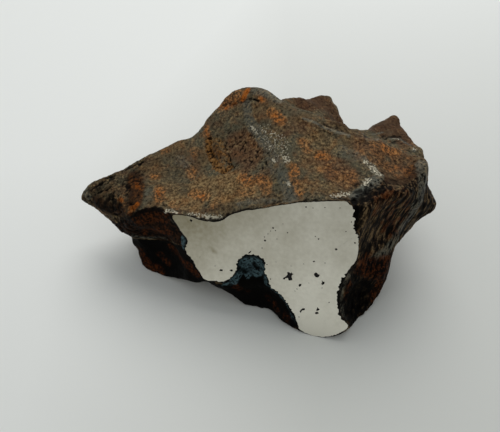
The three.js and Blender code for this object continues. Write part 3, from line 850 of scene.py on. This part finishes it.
# Outlines of the larger inclusions, in pixels of the picture.
INCLUSIONS = (
    (
        (282.8, 278.9), (283.9, 277.2), (285.5, 276.7), (287.4, 274.8), (287, 272.2), (289.4, 272.2),
        (290.5, 273.4), (291.6, 271.9), (292.2, 273.3), (293.7, 274.1), (291.7, 275.5), (291.7, 277.2),
        (292.5, 280), (290.5, 280.5), (288.5, 280.3), (288, 277.8), (285.5, 278.3), (284.1, 279.7),
    ),
    (
        (314.1, 273.7), (315.2, 272.5), (317, 272.8), (318.1, 274.1), (320, 274.8), (318.9, 276.7),
        (317.8, 277.5), (315.5, 277), (314.2, 275.5),
    ),
    (
        (321.7, 279.4), (322.9, 281.7), (324.6, 281.7), (324.4, 283.9), (322.8, 285), (320.8, 284.1),
        (322, 283),
    ),
    ((299.2, 283.9), (301.7, 283.7), (301.1, 285.9), (299.4, 287), (298.5, 285.5)),
    (
        (301.1, 309.4), (302.8, 308.2), (305, 308.4), (304.8, 310), (302.2, 310.4), (300.5, 313.3),
        (299.7, 311),
    ),
    ((317.2, 307), (318.4, 308.3), (319.9, 309.4), (317.8, 310.8), (316.2, 310.5), (316.9, 308.8)),
    ((315.2, 312.2), (317.2, 311.6), (318.9, 313), (317, 314.2), (315, 313.8)),
    ((248.1, 253.3), (249.2, 252), (251.1, 250.6), (250.9, 252.1), (248.9, 253.8)),
    ((229.5, 270.3), (231.5, 269.2), (232.8, 270), (232.6, 271.4), (231.1, 271.4)),
    ((219.2, 270.6), (220.6, 268.9), (222.8, 269.7), (222.6, 271.2), (220.8, 271.2)),
    ((189.7, 220), (190.8, 218.9), (192.6, 220.6), (191.1, 222.2)),
    ((334.7, 249), (336.2, 248), (337.7, 249.4), (336, 250.6)),
    ((312.5, 261.5), (314, 260.5), (315.4, 261.4), (314, 262.2)),
)

# Pinholes: middle in pixels of the picture, and width in millimetres.
PINHOLES = (
    ((273, 228), 0.3), ((275.5, 230.5), 0.2), ((265, 240.5), 0.34), ((264.5, 237), 0.2),
    ((287.6, 232.7), 0.22), ((318.5, 239), 0.28), ((315.3, 236.5), 0.2), ((306, 207), 0.26),
    ((325, 263), 0.18), ((297, 289), 0.2), ((295, 291), 0.16), ((322, 288), 0.16),
    ((270.5, 231), 0.16), ((268, 234), 0.18), ((277, 239), 0.16), ((262, 248), 0.2),
    ((346, 231.5), 0.18), ((303.5, 264), 0.14), ((329, 302.5), 0.2), ((283, 224), 0.14),
    ((299, 317), 0.2), ((297.5, 321), 0.22), ((200, 257), 0.14), ((215, 266), 0.16),
    ((313, 208), 0.16), ((325, 207.5), 0.18), ((340, 208), 0.16), ((291, 266), 0.14),
    ((276, 262), 0.14), ((309, 283), 0.14), ((352.5, 212), 0.26), ((351.5, 222), 0.2),
    ((353, 228), 0.26), ((355, 243), 0.3), ((346.5, 270), 0.24), ((267, 264.5), 0.2),
    ((270.5, 279), 0.22), ((230, 276), 0.24),
)

# Scratches, in pixels of the picture.
SCRATCHES = (
    ((338.5, 247.5), (346, 242), (353, 237.6)),
    ((307, 310.6), (312, 310.4), (315.5, 309.8)),
    ((321, 308.2), (328, 305), (335, 300.3)),
)

# Faint smudges on the polish: middle in pixels of the picture, reach in millimetres and strength.
SMUDGES = (
    ((214, 251), 0.8, 0.22),
    ((211, 248), 0.6, 0.12),
    ((217, 253), 0.6, 0.12),
    ((190, 226), 2.5, 0.08),
)

SCRATCH_WIDTH = 0.05 * MM
SCRATCH_DEPTH = 0.03 * MM

# Sides of an inclusion's outline, how far they are crumbled, and how much narrower its bottom is.
SIDE_LENGTH = 0.14 * MM
CRUMBLING = 0.05 * MM
TAPER = 0.25
PINHOLE_SIDES = 6


def drawn_loop(bm, corners, crumbling):
    """Draws a closed outline on the plane of the cut, its sides crumbled."""
    steps = []
    for start, end in zip(corners, corners[1:] + corners[:1]):
        count = max(1, round((end - start).length / SIDE_LENGTH))
        steps += [start.lerp(end, step / count) for step in range(count)]
    verts = []
    for place in steps:
        wobble = noise.noise_vector(place * 6500) * crumbling
        verts.append(bm.verts.new(place + wobble - CUT_NORMAL * wobble.dot(CUT_NORMAL)))
    return [bm.edges.new(pair) for pair in zip(verts, verts[1:] + verts[:1])]


def window_loops(bm, rim, settings):
    """Draws every inclusion, each pinhole clear of the rim and every scratch, with its depth and its
    finish.
    """
    loops = []

    def clear_of_rim(place, reach):
        return all((place - corner).length > reach for corner in rim)

    for pixels in INCLUSIONS:
        corners = [seen_on_window(pixel) for pixel in pixels]
        loops.append((drawn_loop(bm, corners, CRUMBLING), settings.depth, INCLUSION))
    across = CUT_NORMAL.orthogonal().normalized()
    for pixel, width in PINHOLES:
        middle = seen_on_window(pixel)
        if not clear_of_rim(middle, (0.7 * width + 0.1) * MM):
            continue
        turns = [Quaternion(CUT_NORMAL, math.tau * side / PINHOLE_SIDES) for side in range(PINHOLE_SIDES)]
        corners = [middle + turn @ across * (width / 2 * MM) for turn in turns]
        loops.append((drawn_loop(bm, corners, 0.3 * width / 2 * MM), 0.6 * width * MM, INCLUSION))
    for pixels in SCRATCHES:
        line = [seen_on_window(pixel) for pixel in pixels]
        side = CUT_NORMAL.cross(line[-1] - line[0]).normalized() * (SCRATCH_WIDTH / 2)
        middle = line[1:-1]
        corners = [line[0], *(place - side for place in middle), line[-1]]
        corners += [place + side for place in reversed(middle)]
        loops.append((drawn_loop(bm, corners, 0.0), SCRATCH_DEPTH, IRON))
    return loops


def crumble_rim(bm, rim, teeth):
    """Breaks ragged teeth into the window's rim."""
    ragged = bm.verts.layers.float["teeth"]
    bmesh.ops.subdivide_edges(bm, edges=rim, cuts=1)
    rim = [edge for edge in bm.edges if edge.is_boundary]
    moves = {}
    for vert in {vert for edge in rim for vert in edge.verts}:
        before, after = [edge.other_vert(vert).co for edge in vert.link_edges if edge.is_boundary]
        outwards = (after - before).cross(CUT_NORMAL).normalized()
        if outwards.dot(CUT_PLACE - vert.co) > 0:
            outwards.negate()
        height = noise.noise(vert.co * 2300) + 0.6 * noise.noise(vert.co * 5200)
        moves[vert] = outwards * height * teeth * (0.1 + 0.9 * vert[ragged])
    for vert, move in moves.items():
        vert.co += move
    return rim


def drop_crumbs(bm):
    """Deletes the small pieces that the cut has parted from the lump."""
    left = set(bm.faces)
    pieces = []
    while left:
        piece = [left.pop()]
        for face in piece:
            joined = {other for edge in face.edges for other in edge.link_faces if other in left}
            left -= joined
            piece += joined
        pieces.append(piece)
    pieces.sort(key=len)
    crumbs = [face for piece in pieces[:-1] for face in piece]
    bmesh.ops.delete(bm, geom=crumbs, context="FACES")


def turn_towards(face, direction):
    """Winds a face so that it looks along a direction."""
    face.normal_update()
    if face.normal.dot(direction) < 0:
        face.normal_flip()


def saw(mesh, surface, settings):
    """Saws the skin flat along the cut, fills the window and sinks the inclusions into it."""
    bm = bmesh.new()
    bm.from_mesh(mesh)
    everything = bm.verts[:] + bm.edges[:] + bm.faces[:]
    bmesh.ops.bisect_plane(
        bm, geom=everything, dist=ON_THE_CUT, plane_co=CUT_PLACE, plane_no=CUT_NORMAL, clear_outer=True
    )
    drop_crumbs(bm)
    rim = crumble_rim(bm, [edge for edge in bm.edges if edge.is_boundary], surface.teeth)
    rim_places = [edge.verts[0].co.copy() for edge in rim]
    loops = window_loops(bm, rim_places, settings)
    outlines = rim + [edge for loop, _, _ in loops for edge in loop]
    filled = bmesh.ops.triangle_fill(bm, use_beauty=True, edges=outlines, normal=CUT_NORMAL)["geom"]
    for face in filled:
        if isinstance(face, bmesh.types.BMFace):
            face.material_index = IRON
            turn_towards(face, CUT_NORMAL)
    for edge in rim:
        edge.smooth = False
    for loop, depth, finish in loops:
        walls = bmesh.ops.extrude_edge_only(bm, edges=loop)["geom"]
        sunk = [part for part in walls if isinstance(part, bmesh.types.BMVert)]
        middle = sum((vert.co for vert in sunk), Vector()) / len(sunk)
        for vert in sunk:
            vert.co = vert.co.lerp(middle, TAPER if finish == INCLUSION else 0.0) - CUT_NORMAL * depth
        lower = [part for part in walls if isinstance(part, bmesh.types.BMEdge)]
        bottom = bmesh.ops.edgeloop_fill(bm, edges=lower)["faces"]
        for face in bottom:
            face.material_index = finish
            turn_towards(face, CUT_NORMAL)
        for face in [part for part in walls if isinstance(part, bmesh.types.BMFace)]:
            face.material_index = finish
            upper = next(edge for edge in face.edges if edge in loop)
            if not upper.is_contiguous:
                face.normal_flip()
        for edge in loop:
            edge.smooth = False
    if any(len(edge.link_faces) != 2 for edge in bm.edges):
        raise RuntimeError("the sawn lump isn't closed")
    for face in bm.faces:
        face.smooth = face.material_index == CRUST
    bm.to_mesh(mesh)
    bm.free()


# Finish.

# How grain breaks up the edge of each mark: scale of the grain, raggedness and softness of the edge.
EDGES = {
    "ruddy": (500, 1.2, 0.4),
    "tan": (700, 1.4, 0.45),
    "sandy": (900, 1.6, 0.3),
    "umber": (800, 1.0, 0.5),
    "rust": (800, 1.4, 0.55),
    "fresh": (1300, 1.8, 0.45),
    "ochre": (1900, 2.2, 0.35),
    "flank": (700, 0.3, 0.25),
    "shade": (900, 0.5, 0.2),
    "worn": (1300, 1.4, 0.4),
    "slate": (1100, 1.4, 0.4),
    "bowl_shadow": (600, 1.4, 0.5),
    "lobe_shadow": (700, 0.4, 0.25),
    "ember": (900, 1.8, 0.4),
    "shadow_patch": (1000, 2.4, 0.2),
    "bruised": (1500, 1.0, 0.2),
    "chalk": (3600, 3.2, 0.2),
    "shaded_hollow": (1300, 1.0, 0.3),
}


def add(tree, kind, inputs=None, **settings):
    """Adds a shader node, sets it, and links or fills its sockets."""
    made = tree.nodes.new(kind)
    for name, value in settings.items():
        setattr(made, name, value)
    for name, value in (inputs or {}).items():
        if isinstance(value, bpy.types.NodeSocket):
            tree.links.new(value, made.inputs[name])
        else:
            made.inputs[name].default_value = value
    return made


def placed(tree, group, output, **inputs):
    """A node group with its values."""
    return add(tree, "ShaderNodeGroup", inputs, node_tree=group).outputs[output]


def mark(tree, name):
    """The value that the skin stores under a name."""
    return add(tree, "ShaderNodeAttribute", attribute_name=name).outputs["Fac"]


def math_node(tree, kind, a, b=0.0, c=0.0):
    """A Math node on up to three values."""
    return add(tree, "ShaderNodeMath", {0: a, 1: b, 2: c}, operation=kind).outputs[0]


def ramp(tree, value, start, end, smooth=False, height=1.0):
    """Rises from 0 to a height while a value runs from start to end."""
    limits = {"Value": value, "From Min": start, "From Max": end, "To Max": height}
    kind = "SMOOTHSTEP" if smooth else "LINEAR"
    return add(tree, "ShaderNodeMapRange", limits, interpolation_type=kind).outputs["Result"]


def cloud(tree, place, scale, detail, roughness=0.5):
    """Fractal noise, 0 to 1."""
    inputs = {"Vector": place, "Scale": scale, "Detail": detail, "Roughness": roughness}
    return add(tree, "ShaderNodeTexNoise", inputs).outputs["Fac"]


def blended(tree, factor, below, above):
    """One colour over another."""
    below, above = [c if isinstance(c, bpy.types.NodeSocket) else (*c, 1) for c in (below, above)]
    mix = add(tree, "ShaderNodeMix", {0: factor, 6: below, 7: above}, data_type="RGBA")
    return mix.outputs[2]


def blended_value(tree, factor, below, above):
    """One value over another."""
    return add(tree, "ShaderNodeMix", {0: factor, 2: below, 3: above}).outputs[0]


def raised(tree, shader, height, strength, millimetres):
    """Gives the shader a bump."""
    inputs = {"Height": height, "Strength": strength, "Distance": millimetres * MM}
    bump = add(tree, "ShaderNodeBump", inputs)
    tree.links.new(bump.outputs["Normal"], shader.inputs["Normal"])


def shader_group(name, inputs, output):
    """An empty shader node group, with its input values and the socket of its one output."""
    tree = bpy.data.node_groups.new(name, "ShaderNodeTree")
    tree.interface.new_socket("Place", in_out="INPUT", socket_type="NodeSocketVector")
    for label, value in inputs.items():
        socket = tree.interface.new_socket(label, in_out="INPUT", socket_type="NodeSocketFloat")
        socket.default_value = value
    tree.interface.new_socket(output, in_out="OUTPUT", socket_type="NodeSocketFloat")
    return tree, add(tree, "NodeGroupInput").outputs, add(tree, "NodeGroupOutput").inputs[output]


def mottle_group():
    """Cloudy spots of one size, 0 to 1."""
    inputs = {"Scale": 300, "Detail": 4, "Amount": 0.5, "Softness": 0.1}
    tree, given, mask = shader_group("Mottle", inputs, "Mask")
    noise_here = cloud(tree, given["Place"], given["Scale"], given["Detail"])
    start = math_node(tree, "SUBTRACT", 1, given["Amount"])
    low = math_node(tree, "SUBTRACT", start, given["Softness"])
    high = math_node(tree, "ADD", start, given["Softness"])
    tree.links.new(ramp(tree, noise_here, low, high, smooth=True), mask)
    return tree


def broken_group():
    """A mark whose edge is broken up by grain, 0 to 1."""
    inputs = {"Mark": 0, "Scale": 1200, "Raggedness": 0.8, "Softness": 0.15}
    tree, given, mask = shader_group("Broken mark", inputs, "Mask")
    grain = math_node(tree, "SUBTRACT", cloud(tree, given["Place"], given["Scale"], 4), 0.5)
    rough = math_node(tree, "MULTIPLY_ADD", grain, given["Raggedness"], given["Mark"])
    low = math_node(tree, "SUBTRACT", 0.5, given["Softness"])
    high = math_node(tree, "ADD", 0.5, given["Softness"])
    edge = ramp(tree, rough, low, high, smooth=True)
    carried = math_node(tree, "GREATER_THAN", given["Mark"], 0.01)
    tree.links.new(math_node(tree, "MULTIPLY", edge, carried), mask)
    return tree


def grain_group():
    """Height of a fine crumbly grain."""
    tree, given, height = shader_group("Grain", {"Scale": 2500}, "Height")
    tree.links.new(cloud(tree, given["Place"], given["Scale"], 8, 0.72), height)
    return tree


def new_material(name):
    """An empty material with its node tree, shader and the Object coordinates."""
    material = bpy.data.materials.new(name)
    material.use_nodes = True
    tree = material.node_tree
    tree.nodes.clear()
    shader = add(tree, "ShaderNodeBsdfPrincipled")
    out = add(tree, "ShaderNodeOutputMaterial")
    tree.links.new(shader.outputs["BSDF"], out.inputs["Surface"])
    place = add(tree, "ShaderNodeTexCoord").outputs["Object"]
    return material, tree, shader, place


def crust_material(colours, streaks, groups):
    """Mottled brown rust with orange patches, worn grey ridges, a streaked flank, and shade painted dark
    or black on the flank, the facet, the underside and into the hollows.
    """
    material, tree, shader, place = new_material("Rusty crust")
    mottle, broken, grain = groups

    def spots(scale, amount, softness, detail=4):
        values = {"Scale": scale, "Amount": amount, "Softness": softness, "Detail": detail}
        return placed(tree, mottle, "Mask", Place=place, **values)

    def broken_up(value, edge):
        scale, raggedness, softness = EDGES[edge]
        values = {"Scale": scale, "Raggedness": raggedness, "Softness": softness}
        return placed(tree, broken, "Mask", Place=place, Mark=value, **values)

    def patches(name):
        return broken_up(mark(tree, name), name)

    def between(value, low, high):
        return ramp(tree, value, low, high)

    def times(one, other):
        return math_node(tree, "MULTIPLY", one, other)

    def stronger(one, other):
        return math_node(tree, "MAXIMUM", one, other)

    def over(factor, strength, tint, below):
        return blended(tree, times(factor, strength), below, tint)

    height = placed(tree, grain, "Height", Place=place, Scale=2300)
    turn = streaks.to_track_quat("Z", "Y").to_euler()
    drawn = {"Vector": place, "Rotation": turn, "Scale": (1, 1, STREAK_STRETCH)}
    along = add(tree, "ShaderNodeMapping", drawn, vector_type="TEXTURE").outputs[0]
    streak = cloud(tree, along, 1900, 4, 0.65)

    # brown, olive and reddish spots
    skin = blended(tree, spots(230, 0.52, 0.16), colours.brown, colours.olive)
    skin = over(spots(330, 0.40, 0.12, 6), 0.6, colours.red, skin)
    skin = over(patches("ruddy"), 0.75, colours.red, skin)
    skin = over(patches("tan"), 0.5, colours.tan, skin)
    skin = over(spots(700, 0.40, 0.12, 5), 0.3, colours.rust, skin)
    skin = over(patches("umber"), 0.85, colours.umber, skin)

    # rust
    rust = blended(tree, between(height, 0.50, 0.62), colours.rust, colours.bright_rust)
    grainy = math_node(tree, "MULTIPLY_ADD", between(height, 0.45, 0.58), 0.75, 0.25)
    skin = over(times(patches("rust"), grainy), 0.9, rust, skin)
    skin = over(patches("fresh"), 0.75, colours.fresh, skin)
    skin = over(patches("ochre"), 0.62, colours.ochre, skin)
    skin = over(mark(tree, "horn"), 0.35, colours.dark, skin)

    # streaked flank, painted dark partly as shade, and the facet painted dark as shade
    side = patches("flank")
    shade = patches("shade")
    skin = over(side, 0.9, colours.dark, skin)
    skin = over(shade, 0.97, colours.umber, skin)
    skin = over(times(between(streak, 0.51, 0.60), side), 0.7, colours.fibre, skin)

    # grey ridges
    worn = patches("worn")
    skin = over(worn, 0.7, colours.worn, skin)
    skin = over(patches("slate"), 0.6, colours.slate, skin)

    # dark grains and pale crumbs
    skin = over(between(height, 0.50, 0.38), 0.85, colours.dark, skin)
    crumbly = times(between(height, 0.53, 0.63), spots(420, 0.55, 0.2))
    dim = stronger(stronger(side, shade), mark(tree, "umber"))
    lit = math_node(tree, "SUBTRACT", 1, dim)
    skin = over(times(crumbly, lit), 0.6, colours.crumb, skin)
    sandy = times(between(height, 0.50, 0.60), broken_up(mark(tree, "tan"), "sandy"))
    skin = over(sandy, 0.4, colours.crumb, skin)

    # what is painted dark as shade, with its reddish spots and its black speckle
    # painted shadow: the low bowl painted black
    bowl_shadow = patches("bowl_shadow")
    skin = over(bowl_shadow, 0.72, colours.black, skin)
    # painted shadow: the underside of the left lobe and the notch painted black
    lobe_and_notch_shadow = stronger(patches("lobe_shadow"), mark(tree, "notch_shadow"))
    skin = over(lobe_and_notch_shadow, 1, colours.black, skin)
    skin = over(patches("ember"), 0.8, colours.ember, skin)
    shade_speckle = stronger(between(height, 0.56, 0.47), spots(650, 0.35, 0.1))
    speckle_in_shade = times(stronger(stronger(lobe_and_notch_shadow, shade), bowl_shadow), shade_speckle)
    skin = over(speckle_in_shade, 0.93, colours.black, skin)
    skin = over(times(between(streak, 0.50, 0.44), side), 0.97, colours.black, skin)
    # painted shadow patches
    skin = over(patches("shadow_patch"), 0.85, colours.black, skin)
    # painted shade: the horn's creases painted black
    skin = over(mark(tree, "crease"), 0.95, colours.black, skin)

    # blue-grey skin and white crumbs
    bruised = broken_up(stronger(mark(tree, "bruise"), mark(tree, "chip")), "bruised")
    blue = blended(tree, between(height, 0.53, 0.42), colours.bruise, colours.black)
    skin = over(bruised, 0.85, blue, skin)
    skin = over(patches("chalk"), 0.8, colours.chalk, skin)

    # pits, grain hollows, cracks and the ragged shadow under the crust's lip along the window's rim, all
    # painted black as shade
    skin = over(mark(tree, "pit"), 0.9, colours.black, skin)
    skin = over(between(mark(tree, "grain_height"), 0.40, 0.10), 0.85, colours.black, skin)
    shaded_hollow = patches("shaded_hollow")
    skin = over(shaded_hollow, 1, colours.black, skin)
    rim_lip_shadow = math_node(tree, "MULTIPLY_ADD", spots(1100, 0.5, 0.2), 0.35, mark(tree, "cut_gap"))
    skin = over(between(rim_lip_shadow, 0.62, 0.38), 0.9, colours.black, skin)
    tree.links.new(skin, shader.inputs["Base Color"])

    shader.inputs["Specular IOR Level"].default_value = 0.03
    gloss = math_node(tree, "MULTIPLY_ADD", spots(700, 0.5, 0.2), -0.16, 0.64)
    tree.links.new(math_node(tree, "MULTIPLY_ADD", worn, -0.16, gloss), shader.inputs["Roughness"])
    tree.links.new(stronger(times(worn, 0.35), shaded_hollow), shader.inputs["Metallic"])
    raised(tree, shader, blended_value(tree, side, height, streak), 0.9, 0.12)
    return material


def iron_material(finish, groups):
    """Softly polished nickel-iron with a cloudy haze, painted darker towards its upper left and its top as
    reflection.
    """
    material, tree, shader, place = new_material("Polished iron")
    axes = add(tree, "ShaderNodeSeparateXYZ", {"Vector": place}).outputs

    def haze(scale, detail):
        values = {"Scale": scale, "Detail": detail, "Amount": 0.5, "Softness": 0.3}
        return placed(tree, groups[0], "Mask", Place=place, **values)

    def plus(value, share, base):
        return math_node(tree, "MULTIPLY_ADD", value, share, base)

    # painted reflection: the iron is darkened towards the upper left and the top
    left = ramp(tree, axes["X"], 9 * MM, -17 * MM)
    top = ramp(tree, axes["Z"], 2 * MM, 26 * MM)
    haze_and_painted_reflection = plus(left, 0.18, math_node(tree, "MULTIPLY", top, 0.42))
    haze_and_painted_reflection = plus(math_node(tree, "MULTIPLY", left, top), 0.80, haze_and_painted_reflection)
    haze_and_painted_reflection = plus(haze(170, 3), 0.20, math_node(tree, "SUBTRACT", haze_and_painted_reflection, 0.11))
    for pixel, reach, strength in SMUDGES:
        ends = {0: place, 1: seen_on_window(pixel)}
        gap = add(tree, "ShaderNodeVectorMath", ends, operation="DISTANCE").outputs["Value"]
        haze_and_painted_reflection = plus(ramp(tree, gap, reach * MM, 0, smooth=True), strength, haze_and_painted_reflection)
    haze_and_painted_reflection = plus(haze(1600, 5), 0.12, math_node(tree, "SUBTRACT", haze_and_painted_reflection, 0.06))
    haze_and_painted_reflection = add(tree, "ShaderNodeClamp", {"Value": haze_and_painted_reflection}).outputs["Result"]
    tree.links.new(blended(tree, haze_and_painted_reflection, finish.iron, finish.haze), shader.inputs["Base Color"])
    shader.inputs["Metallic"].default_value = 1
    shader.inputs["Roughness"].default_value = finish.roughness
    raised(tree, shader, cloud(tree, place, 900, 3), 0.15, 0.05)
    return material


def inclusion_material(finish, groups):
    """Crumbly black mineral."""
    material, tree, shader, place = new_material("Dark inclusion")
    mottle, _, grain = groups
    raised(tree, shader, placed(tree, grain, "Height", Place=place, Scale=4000), 0.8, 0.05)
    grains = placed(tree, mottle, "Mask", Place=place, Scale=5000, Detail=2, Amount=0.4, Softness=0.1)
    tint = blended(tree, math_node(tree, "MULTIPLY", grains, 0.4), finish.inclusion, finish.speck)
    tree.links.new(tint, shader.inputs["Base Color"])
    shader.inputs["Roughness"].default_value = 0.85
    return material


# The steps.

# The stage, in metres: half the floor's side, the overhead light and the nearest place in view.
FLOOR_HALF = 3
SOFTBOX_SIZE = 0.45
SOFTBOX_PLACE = (0.03, 0.28, 0.42)
NEAREST = 0.005


class METEORITE_OT_lump(bpy.types.Operator):
    """Lays the fine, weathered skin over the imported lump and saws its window"""

    bl_idname = "meteorite.lump"
    bl_label = "Lump"

    def execute(self, context):
        scene = context.scene
        surface = scene.meteorite_surface
        noise.seed_set(surface.seed)
        node = frame["nodes"][NODE]
        tree = BVHTree.FromObject(node, context.evaluated_depsgraph_get())
        skin = bpy.data.objects.new("meteorite_skin", drawn_out(node, surface.overcut))
        scene.collection.objects.link(skin)
        fine_skin(skin, surface)
        roughen(skin.data, tree, surface)
        saw(skin.data, surface, scene.meteorite_window)
        groups = mottle_group(), broken_group(), grain_group()
        skin.data.materials.append(crust_material(scene.meteorite_crust, downhill(tree), groups))
        skin.data.materials.append(iron_material(scene.meteorite_window, groups))
        skin.data.materials.append(inclusion_material(scene.meteorite_window, groups))
        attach(skin, "root")
        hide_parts(NODE)
        return {"FINISHED"}


class METEORITE_OT_stage(bpy.types.Operator):
    """Adds the pale floor, the soft light and the camera"""

    bl_idname = "meteorite.stage"
    bl_label = "Stage"

    def execute(self, context):
        scene = context.scene
        settings = scene.meteorite_stage
        bm = bmesh.new()
        bmesh.ops.create_grid(bm, x_segments=1, y_segments=1, size=FLOOR_HALF)
        mesh = bpy.data.meshes.new("floor")
        bm.to_mesh(mesh)
        bm.free()
        floor = bpy.data.objects.new("floor", mesh)
        scene.collection.objects.link(floor)
        material, tree, shader, place = new_material("Pale table")
        axes = add(tree, "ShaderNodeSeparateXYZ", {"Vector": place}).outputs
        # painted light: the floor is paler towards the far side and the left, and darker towards the near
        # right
        far = ramp(tree, axes["Y"], -0.045, 0.11, height=0.9)
        left = ramp(tree, axes["X"], 0.01, -0.035, height=0.6)
        painted_floor_light = math_node(tree, "ADD", far, left)
        tint = blended(tree, painted_floor_light, settings.shaded_near_floor, settings.floor)
        tree.links.new(tint, shader.inputs["Base Color"])
        shader.inputs["Roughness"].default_value = 0.6
        mesh.materials.append(material)

        world = bpy.data.worlds.new("Even light")
        world.use_nodes = True
        sky = world.node_tree.nodes["Background"]
        sky.inputs["Color"].default_value = (*settings.sky_tint, 1)
        sky.inputs["Strength"].default_value = settings.sky
        scene.world = world

        lamp = bpy.data.lights.new("Softbox", "AREA")
        lamp.shape = "DISK"
        lamp.size = SOFTBOX_SIZE
        lamp.energy = settings.softbox
        softbox = bpy.data.objects.new("Softbox", lamp)
        softbox.location = SOFTBOX_PLACE
        softbox.rotation_euler = (-softbox.location).to_track_quat("-Z", "Y").to_euler()
        scene.collection.objects.link(softbox)

        lens = bpy.data.cameras.new("Camera")
        lens.sensor_width = SENSOR_MM
        lens.lens = FOCAL_PIXELS * SENSOR_MM / PICTURE[0]
        lens.clip_start = NEAREST
        camera = bpy.data.objects.new("Camera", lens)
        camera.location = CAMERA_PLACE
        camera.rotation_euler = CAMERA_TURN
        scene.collection.objects.link(camera)
        scene.camera = camera
        scene.view_settings.view_transform = "Standard"
        return {"FINISHED"}


class METEORITE_PT_panel(bpy.types.Panel):
    """Lists the steps and their values"""

    bl_idname = "METEORITE_PT_panel"
    bl_label = "Meteorite"
    bl_space_type = "VIEW_3D"
    bl_region_type = "UI"
    bl_category = "Meteorite"

    def draw(self, context):
        for operator in (METEORITE_OT_lump, METEORITE_OT_stage):
            self.layout.operator(operator.bl_idname)
        for name, kind in SETTINGS.items():
            box = self.layout.box()
            for field in kind.__annotations__:
                box.prop(getattr(context.scene, name), field)


SETTINGS = {
    "meteorite_surface": SurfaceSettings,
    "meteorite_crust": CrustSettings,
    "meteorite_window": WindowSettings,
    "meteorite_stage": StageSettings,
}
CLASSES = (*SETTINGS.values(), METEORITE_OT_lump, METEORITE_OT_stage, METEORITE_PT_panel)


def register():
    for kind in CLASSES:
        bpy.utils.register_class(kind)
    for name, kind in SETTINGS.items():
        setattr(bpy.types.Scene, name, PointerProperty(type=kind))


def unregister():
    for name in SETTINGS:
        delattr(bpy.types.Scene, name)
    for kind in reversed(CLASSES):
        bpy.utils.unregister_class(kind)


def main():
    register()
    bpy.ops.meteorite.lump()
    bpy.ops.meteorite.stage()


if __name__ == "__main__":
    main()
